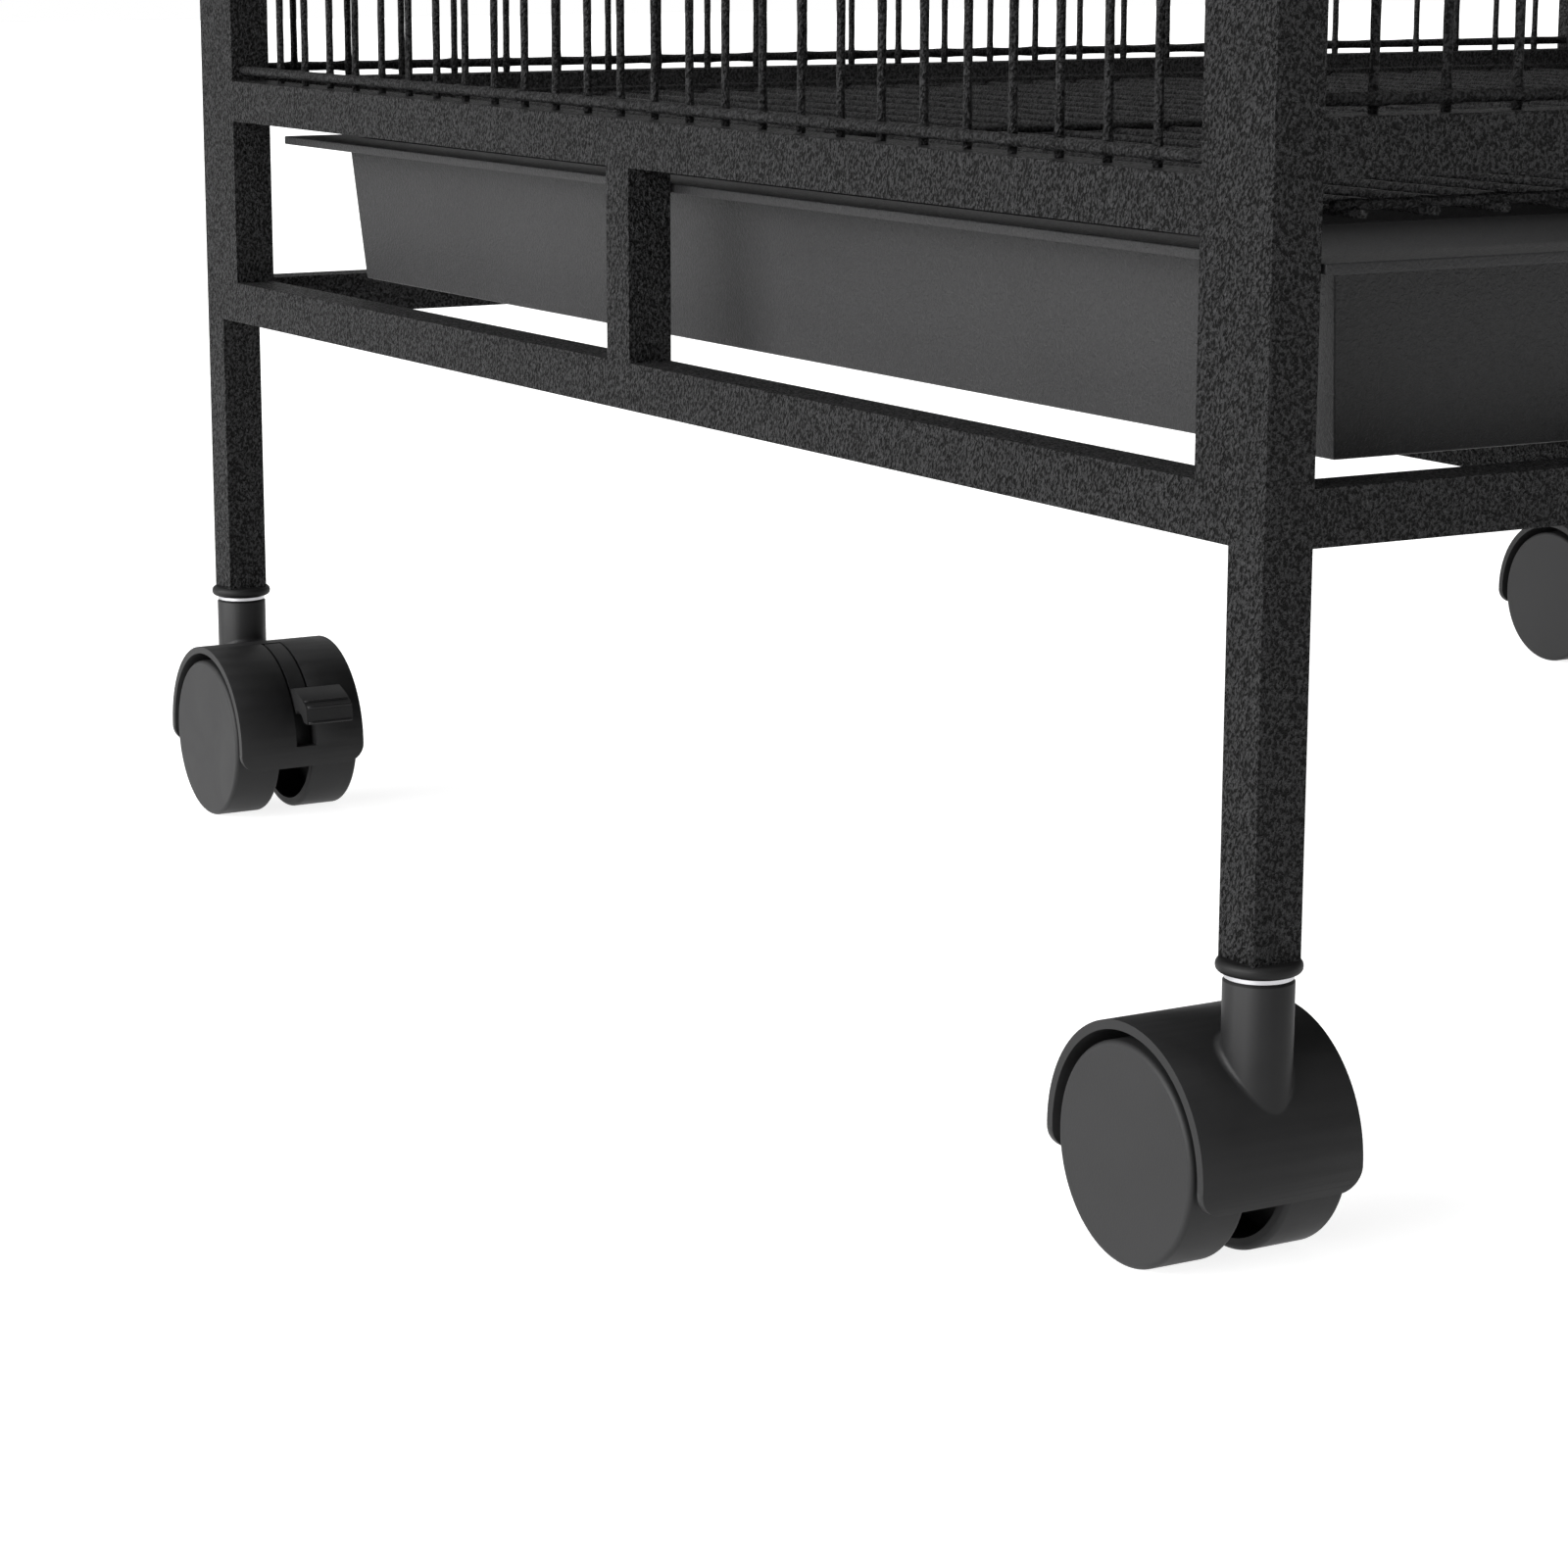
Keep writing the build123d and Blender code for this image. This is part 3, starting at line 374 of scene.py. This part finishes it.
# ---- round coated wires ------------------------------------------------------------------------
class WireField:
    """Gathers round, slightly uneven wires into one mesh."""

    def __init__(self, name):
        self.name = name
        self.points = []
        self.faces = []
        self.random = np.random.default_rng(sum(map(ord, name)))

    def wire(self, start, end, radius, welds=(), fine=FINE_LENGTH):
        """A wire from start to end; welds are distances along it where another wire crosses."""
        start, end = np.array(start, float), np.array(end, float)
        length = float(np.linalg.norm(end - start))
        along = (end - start) / length
        near = np.arange(0.0, min(fine, length), FINE_STEP)
        far = np.arange(len(near) * FINE_STEP, length, RING_STEP)
        rings = np.concatenate([near, far, [length]])
        side = np.cross(along, WIRE_SKEW)
        side /= np.linalg.norm(side)
        other = np.cross(along, side)
        phases = self.random.uniform(0.0, 2 * math.pi, PHASES)
        angles = np.arange(WIRE_SIDES) * 2 * math.pi / WIRE_SIDES
        s, a = np.meshgrid(rings, angles, indexing="ij")
        lump = sum(np.sin(s / wave + lobes * a + phase)
                   for (wave, lobes), phase in zip(COAT_WAVES, phases)) / len(COAT_WAVES)
        reach = radius * (WIRE_FIT + COAT_LUMP * lump)
        for weld in welds:
            reach = reach + radius * WELD_SWELL * np.exp(-((s - weld) / WELD_REACH) ** 2)
        ring = np.cos(a)[..., None] * side + np.sin(a)[..., None] * other
        points = start + s[..., None] * along + reach[..., None] * ring
        self.loft(points)

    def loft(self, rings):
        """Joins rings of points, each with as many points as the last, and closes both ends."""
        rows, count = len(rings), len(rings[0])
        base = sum(len(points) for points in self.points)
        self.points.append(np.reshape(rings, (-1, 3)))
        for i in range(rows - 1):
            for k in range(count):
                q, n = base + i * count, (k + 1) % count
                self.faces.append((q + k, q + n, q + count + n, q + count + k))
        self.faces.append(tuple(base + k for k in reversed(range(count))))
        top = base + (rows - 1) * count
        self.faces.append(tuple(top + k for k in range(count)))

    def plate(self, start, size):
        """A small pressed tab, softened along its long edges, standing out from start along x."""
        x, y, z = start
        out, wide, thick = size
        bead = thick / 4
        half = thick / 2
        rim = [(y, -half + bead), (y + bead, -half), (y + wide - bead, -half),
               (y + wide, -half + bead), (y + wide, half - bead), (y + wide - bead, half),
               (y + bead, half), (y, half - bead)]
        self.loft([[(x + along * out, across, z + lift * thick + high) for across, high in rim]
                   for along, lift in TAB_CURL])

    def finish(self, node, slot="coated_wire", in_its_place=True):
        mesh = bpy.data.meshes.new(self.name)
        mesh.from_pydata(np.concatenate(self.points).tolist(), [], self.faces)
        mesh.materials.append(FINISHES[slot])
        mesh.shade_smooth()
        piece = bpy.data.objects.new(self.name, mesh)
        bpy.context.scene.collection.objects.link(piece)
        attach(piece, NODES[node]["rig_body"])
        if in_its_place:
            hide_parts(node)


def row(count, pitch):
    """Places of evenly pitched bars, centred on zero."""
    return [(i - (count - 1) / 2) * pitch for i in range(count)]


def panel(field, square_to, bar_at, cross_at, bars, ends, crosses, span):
    """Upright bars between two heights, and cross wires over a span, square to "x" or "y"."""
    def point(depth, across, z):
        return (depth, across, z) if square_to == "x" else (across, depth, z)
    for place in bars:
        welds = [z - ends[0] for z in crosses]
        field.wire(point(bar_at, place, ends[0]), point(bar_at, place, ends[1]), BAR_R, welds)
    for z in crosses:
        welds = [place - span[0] for place in bars]
        field.wire(point(cross_at, span[0], z), point(cross_at, span[1], z), CROSS_R, welds)


LOW, HIGH = (corner.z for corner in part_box("back_wires"))
LEVEL_STEP = (HIGH - LOW - 2 * FIRST_CROSS) / CROSS_BAYS
LEVELS = [LOW + FIRST_CROSS + i * LEVEL_STEP for i in range(CROSS_BAYS + 1)]
OPENING = (LEVELS[FEEDER_BAY], LEVELS[FEEDER_BAY + 1])


def depths(node, axis, outward):
    """Where the bars and the cross wires of a panel lie, from the panel's own box."""
    low, high = (corner[axis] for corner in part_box(node))
    if outward < 0:
        return high - BAR_R, low + CROSS_R
    return low + BAR_R, high - CROSS_R


def side_wires(node, outward):
    field = WireField(f"{node}_round")
    bar_at, cross_at = depths(node, 0, outward)
    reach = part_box(node)[1].y
    bars = row(SIDE_BARS, SIDE_PITCH)
    edge = FEEDER_HALF - BAR_R - OPENING_OVERRUN
    inner = [y for y in bars if abs(y) < FEEDER_HALF - MATCH]
    front = [y for y in bars if y < -FEEDER_HALF + MATCH]
    back = [y for y in bars if y > FEEDER_HALF - MATCH]
    below = LEVELS[:FEEDER_BAY + 1]
    above = LEVELS[FEEDER_BAY + 1:]
    panel(field, "x", bar_at, cross_at, front, (LOW, HIGH), LEVELS, (-reach, -edge))
    panel(field, "x", bar_at, cross_at, back, (LOW, HIGH), LEVELS, (edge, reach))
    panel(field, "x", bar_at, cross_at, inner, (LOW, OPENING[0]), below, (-edge, edge))
    panel(field, "x", bar_at, cross_at, inner, (OPENING[1], HIGH), above, (-edge, edge))
    field.finish(node)


def back_wires():
    field = WireField("back_wires_round")
    bar_at, cross_at = depths("back_wires", 1, 1)
    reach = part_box("back_wires")[1].x
    panel(field, "y", bar_at, cross_at, row(FRONT_BARS, FRONT_PITCH), (LOW, HIGH), LEVELS,
          (-reach, reach))
    field.finish("back_wires")


def front_wires():
    field = WireField("front_wires_round")
    bar_at, cross_at = depths("front_wires", 1, -1)
    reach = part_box("front_wires")[1].x
    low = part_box("front_wires")[0].z
    door_low, door_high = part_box("door_frame")
    sill, header = door_low.z - DOOR_GAP - TUBE, door_high.z + DOOR_GAP + TUBE
    jamb_in = door_high.x + DOOR_GAP
    jamb_out = jamb_in + TUBE
    bars = row(FRONT_BARS, FRONT_PITCH)
    right = [x for x in bars if x > jamb_out]
    left = [-x for x in right]
    inner = [x for x in bars if abs(x) < jamb_in - MATCH]
    full = [low + FIRST_CROSS] + LEVELS[1:]
    below = [z for z in full if z < sill]
    above = [z for z in full if z > header]
    panel(field, "y", bar_at, cross_at, left, (low, HIGH), full, (-reach, -jamb_out))
    panel(field, "y", bar_at, cross_at, right, (low, HIGH), full, (jamb_out, reach))
    panel(field, "y", bar_at, cross_at, inner, (low, sill), below, (-jamb_in, jamb_in))
    panel(field, "y", bar_at, cross_at, inner, (header, HIGH), above, (-jamb_in, jamb_in))
    field.finish("front_wires")


def door_wires():
    field = WireField("door_wires_round")
    bar_at, cross_at = depths("door_wires", 1, -1)
    low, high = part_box("door_wires")
    bars = [x for x in row(FRONT_BARS, FRONT_PITCH) if abs(x) < high.x - DOOR_BAR_INSET]
    crosses = [z for z in LEVELS if low.z < z < high.z]
    panel(field, "y", bar_at, cross_at, bars, (low.z, high.z), crosses, (low.x, high.x))
    field.finish("door_wires")


def feeder_door(node, outward):
    """Wire door with two sleeves on its pivot bar and a lifting tab on its free edge."""
    field = WireField(f"{node}_round")
    low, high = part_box(node)
    bar_at = outward * (abs(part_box("left_side_wires")[1].x) + BAR_R)
    cross_at = bar_at + outward * (BAR_R + CROSS_R - WELD)
    edge = FEEDER_HALF - FEEDER_EDGE
    ends = (OPENING[0] + FEEDER_MARGIN, OPENING[1] - FEEDER_MARGIN)
    middle = (OPENING[0] + OPENING[1]) / 2
    crosses = (OPENING[0] + FEEDER_CROSS, middle, OPENING[1] - FEEDER_CROSS)
    start = -edge - FEEDER_OVERRUN
    bars = [y for y in row(SIDE_BARS, SIDE_PITCH) if abs(y) < FEEDER_HALF - MATCH]
    bars = [-edge, *bars, edge]
    for y in bars:
        welds = [z - ends[0] for z in crosses]
        field.wire((bar_at, y, ends[0]), (bar_at, y, ends[1]), BAR_R, welds, fine=0)
    for z in crosses:
        reach = edge if z == middle else FEEDER_HALF - PIVOT_CLEAR
        welds = [y - start for y in bars]
        field.wire((cross_at, start, z), (cross_at, reach, z), CROSS_R, welds, fine=0)
    for z in (low.z, high.z - SLEEVE):
        field.wire((bar_at, FEEDER_HALF, z), (bar_at, FEEDER_HALF, z + SLEEVE), SLEEVE_R)
    out, wide, thick = TAB
    field.plate((cross_at, low.y + TAB_INSET, middle), (outward * out, wide, thick))
    field.finish(node)


def lattice(field, box, bars, crosses, cross_r, fine):
    """Bars from front to back along the bottom of a box, with cross wires on top of them."""
    low, high = box
    bar_z, cross_z = low.z + BAR_R, high.z - cross_r
    for x in bars:
        welds = [y - low.y for y in crosses]
        field.wire((x, low.y, bar_z), (x, high.y, bar_z), BAR_R, welds, fine)
    for y in crosses:
        welds = [x - low.x for x in bars]
        field.wire((low.x, y, cross_z), (high.x, y, cross_z), cross_r, welds, fine)


def roof_wires():
    field = WireField("roof_wires_round")
    low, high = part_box("roof_wires")
    lattice(field, (low, high), row(ROOF_BARS, FRONT_PITCH),
            row(ROOF_CROSSES, high.y / 2), CROSS_R, fine=0)
    field.finish("roof_wires")


def grate():
    field = WireField("grate_round")
    low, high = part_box("grate")
    from_front, middle, from_back = GRATE_CROSSES
    lattice(field, (low, high), row(GRATE_BARS, GRATE_PITCH),
            (low.y + from_front, middle, high.y - from_back), GRATE_CROSS_R, fine=FINE_LENGTH)
    field.finish("grate")


def brake_ribs(corner):
    """Thin ribs across the pad of a rear caster's brake lever."""
    field = WireField(f"{corner}_brake_ribs")
    low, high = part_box(f"{corner}_caster_stem")
    x, y = (low.x + high.x) / 2, (low.y + high.y) / 2
    for out, up, radius in PAD_RIBS:
        depth, height = y - TRAIL - out * MM, WHEEL_R + up * MM
        start, end = ((x + across, depth, height) for across in PAD_ENDS)
        field.wire(start, end, radius * MM)
    field.finish(f"{corner}_caster_brake", "caster_plastic", in_its_place=False)


# ---- square tube frames, welded into one skin ---------------------------------------------------
def skin(boxes):
    """One closed skin around boxes that touch, without the walls that they share."""
    boxes = [[[round(value, PLACES) for value in corner] for corner in box] for box in boxes]
    cuts = [sorted({corner[axis] for box in boxes for corner in box}) for axis in range(3)]
    filled = np.zeros([len(values) + 1 for values in cuts], bool)
    for low, high in boxes:
        span = [slice(cuts[axis].index(low[axis]) + 1, cuts[axis].index(high[axis]) + 1)
                for axis in range(3)]
        filled[tuple(span)] = True
    made = bmesh.new()
    corners = {}
    for axis in range(3):
        others = [other for other in range(3) if other != axis]
        change = np.diff(filled.astype(int), axis=axis)
        for cell in np.argwhere(change != 0):
            loop = []
            for step in ((0, 0), (1, 0), (1, 1), (0, 1)):
                key = [0, 0, 0]
                key[axis] = int(cell[axis])
                for other, more in zip(others, step):
                    key[other] = int(cell[other]) - 1 + more
                key = tuple(key)
                if key not in corners:
                    corners[key] = made.verts.new([cuts[a][key[a]] for a in range(3)])
                loop.append(corners[key])
            made.faces.new(loop)
    bmesh.ops.recalc_face_normals(made, faces=made.faces)
    bmesh.ops.dissolve_limit(made, angle_limit=FLAT_ANGLE, verts=made.verts, edges=made.edges)
    # an L or U shaped face would be filled across its gap once its edges are softened
    bmesh.ops.connect_verts_concave(made, faces=made.faces)
    return made


def add_knuckles(made, node):
    """Copies the hinge knuckles, which stand in front of a node's tubes."""
    source = bmesh.new()
    source.from_mesh(NODES[node].data)
    bmesh.ops.remove_doubles(source, verts=source.verts, dist=SAME_POINT)
    copies = {}
    for face in source.faces:
        if all(v.co.y < FRONT_FACE + SAME_PLANE and abs(v.co.x - HINGE_X) < KNUCKLE_REACH
               for v in face.verts):
            for v in face.verts:
                if v not in copies:
                    copies[v] = made.verts.new(v.co)
            made.faces.new([copies[v] for v in face.verts])
    source.free()


def frame_piece(name, made, body, nodes):
    mesh = bpy.data.meshes.new(name)
    made.to_mesh(mesh)
    made.free()
    mesh.materials.append(FINISHES["powder_coat"])
    piece = bpy.data.objects.new(name, mesh)
    bpy.context.scene.collection.objects.link(piece)
    soften(piece, "powder_coat", 3, harden=True)
    mesh.shade_smooth()
    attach(piece, body)
    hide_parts(*nodes)


POSTS = ("front_left_post", "front_right_post", "rear_left_post", "rear_right_post")
POST_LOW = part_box("front_right_post")[0]
HINGE_X = sum(corner.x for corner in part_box("door_hinge_pins")) / 2
FRONT_FACE = POST_LOW.y
DOOR_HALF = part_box("door_frame")[1].x
DOOR_LOW, DOOR_HIGH = (corner.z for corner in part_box("door_frame"))


def rails(x0, x1, y0, y1, undersides):
    """Tubes on one footprint, at several heights."""
    return [((x0, y0, z), (x1, y1, z + TUBE)) for z in undersides]


def side_pair(low, high):
    """The two tubes from front to back at the left and right ends of a box."""
    return [((x, low.y, low.z), (x + TUBE, high.y, high.z)) for x in (low.x, high.x - TUBE)]


def side_tubes(node, upper):
    low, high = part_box(node)
    inner = high.y - TUBE
    tubes = rails(low.x, high.x, -inner, inner, (low.z, upper, high.z - TUBE))
    tubes += [((low.x, low.y, low.z), (high.x, -inner, high.z)), ((low.x, inner, low.z), tuple(high))]
    tubes.append(((low.x, -TUBE / 2, low.z + TUBE), (high.x, TUBE / 2, upper)))
    return tubes


def front_tubes(upper):
    x, y = POST_LOW.x, FRONT_FACE
    low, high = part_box("front_frame")
    inner = DOOR_HALF + DOOR_GAP
    tubes = rails(-x, x, y, y + TUBE, (low.z, upper, high.z - TUBE))
    tubes += rails(-inner, inner, y, y + TUBE, (DOOR_LOW - DOOR_GAP - TUBE, DOOR_HIGH + DOOR_GAP))
    for x0, x1 in ((-inner - TUBE, -inner), (inner, inner + TUBE)):
        tubes.append(((x0, y, upper + TUBE), (x1, y + TUBE, high.z - TUBE)))
    return tubes


def roof_tubes():
    low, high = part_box("roof_frame")
    ends = [((low.x + TUBE, y, low.z), (high.x - TUBE, y + TUBE, high.z))
            for y in (low.y, high.y - TUBE)]
    return side_pair(low, high) + ends


def cage_frame():
    side_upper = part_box("back_wires")[0].z - TUBE
    front_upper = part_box("front_wires")[0].z - TUBE
    tubes = [tuple(map(tuple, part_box(post))) for post in POSTS]
    tubes += side_tubes("left_side_frame", side_upper) + side_tubes("right_side_frame", side_upper)
    low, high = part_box("back_frame")
    tubes += rails(low.x, high.x, low.y, high.y, (low.z, side_upper, high.z - TUBE))
    tubes += front_tubes(front_upper) + roof_tubes()
    tubes += side_pair(*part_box("tray_runners"))
    made = skin(tubes)
    add_knuckles(made, "front_frame")
    frame_piece("cage_frame", made, "cage",
                (*POSTS, "left_side_frame", "right_side_frame", "back_frame",
                 "front_frame", "roof_frame", "tray_runners"))


def door_tubes():
    y0, y1 = FRONT_FACE, FRONT_FACE + TUBE
    half, inner = DOOR_HALF, DOOR_HALF - TUBE
    tubes = [((x, y0, DOOR_LOW), (x + TUBE, y1, DOOR_HIGH)) for x in (-half, inner)]
    tubes += rails(-inner, inner, y0, y1, (DOOR_LOW, DOOR_HIGH - TUBE))
    made = skin(tubes)
    add_knuckles(made, "door_frame")
    frame_piece("door_tubes", made, "main_door", ("door_frame",))


for name in NODES:
    dress(name)
cage_frame()
door_tubes()
side_wires("left_side_wires", -1)
side_wires("right_side_wires", 1)
back_wires()
front_wires()
door_wires()
roof_wires()
grate()
feeder_door("left_feeder_door", -1)
feeder_door("right_feeder_door", 1)
brake_ribs("rear_left")
brake_ribs("rear_right")


# ---- floor, light and camera -------------------------------------------------------------------
def make_floor():
    mesh = bpy.data.meshes.new("floor")
    h = FLOOR_SIZE / 2
    mesh.from_pydata([(-h, -h, 0), (h, -h, 0), (h, h, 0), (-h, h, 0)], [], [(0, 1, 2, 3)])
    floor = bpy.data.objects.new("floor", mesh)
    bpy.context.scene.collection.objects.link(floor)
    made, tree, shader = material("pale_floor", 0.9, specular=0.1)
    cloud = noise(tree, object_coordinates(tree), 1.5, detail=2.0)
    colour = shades(tree, cloud, [(0.3, (0.50, 0.50, 0.50)), (0.7, (0.53, 0.53, 0.53))])
    tree.links.new(colour, shader.inputs["Base Color"])
    shader.inputs["Emission Color"].default_value = (1, 1, 1, 1)
    shader.inputs["Emission Strength"].default_value = FLOOR_GLOW
    mesh.materials.append(made)


def sun(name, strength, angle, direction):
    data = bpy.data.lights.new(name, "SUN")
    data.energy = strength
    data.angle = math.radians(angle)
    lamp = bpy.data.objects.new(name, data)
    lamp.rotation_euler = Vector(direction).to_track_quat("-Z", "Y").to_euler()
    bpy.context.scene.collection.objects.link(lamp)


def make_light():
    for name, look in SUNS.items():
        sun(name, *look)
    world = bpy.data.worlds.new("studio")
    bpy.context.scene.world = world
    world.use_nodes = True
    tree = world.node_tree
    tree.nodes.clear()
    output = tree.nodes.new("ShaderNodeOutputWorld")
    path = tree.nodes.new("ShaderNodeLightPath")
    last = None
    for seen_by, strength in ((None, WORLD_FILL), ("Is Glossy Ray", WORLD_GLOSS),
                              ("Is Camera Ray", WORLD_SEEN)):
        sky = tree.nodes.new("ShaderNodeBackground")
        sky.inputs["Color"].default_value = (1, 1, 1, 1)
        sky.inputs["Strength"].default_value = strength
        if seen_by:
            mix = tree.nodes.new("ShaderNodeMixShader")
            tree.links.new(path.outputs[seen_by], mix.inputs["Fac"])
            tree.links.new(last, mix.inputs[1])
            tree.links.new(sky.outputs[0], mix.inputs[2])
            sky = mix
        last = sky.outputs[0]
    tree.links.new(last, output.inputs["Surface"])
    bpy.context.scene.view_settings.view_transform = "Standard"


def make_camera():
    data = bpy.data.cameras.new("camera")
    data.lens = CAMERA_LENS
    data.shift_x, data.shift_y = CAMERA_SHIFT
    data.clip_start, data.clip_end = CAMERA_CLIP
    camera = bpy.data.objects.new("camera", data)
    camera.location = CAMERA_AT
    camera.rotation_euler = (math.pi / 2 + CAMERA_PITCH, 0.0, CAMERA_AZIMUTH)
    bpy.context.scene.collection.objects.link(camera)
    bpy.context.scene.camera = camera


make_floor()
make_light()
make_camera()
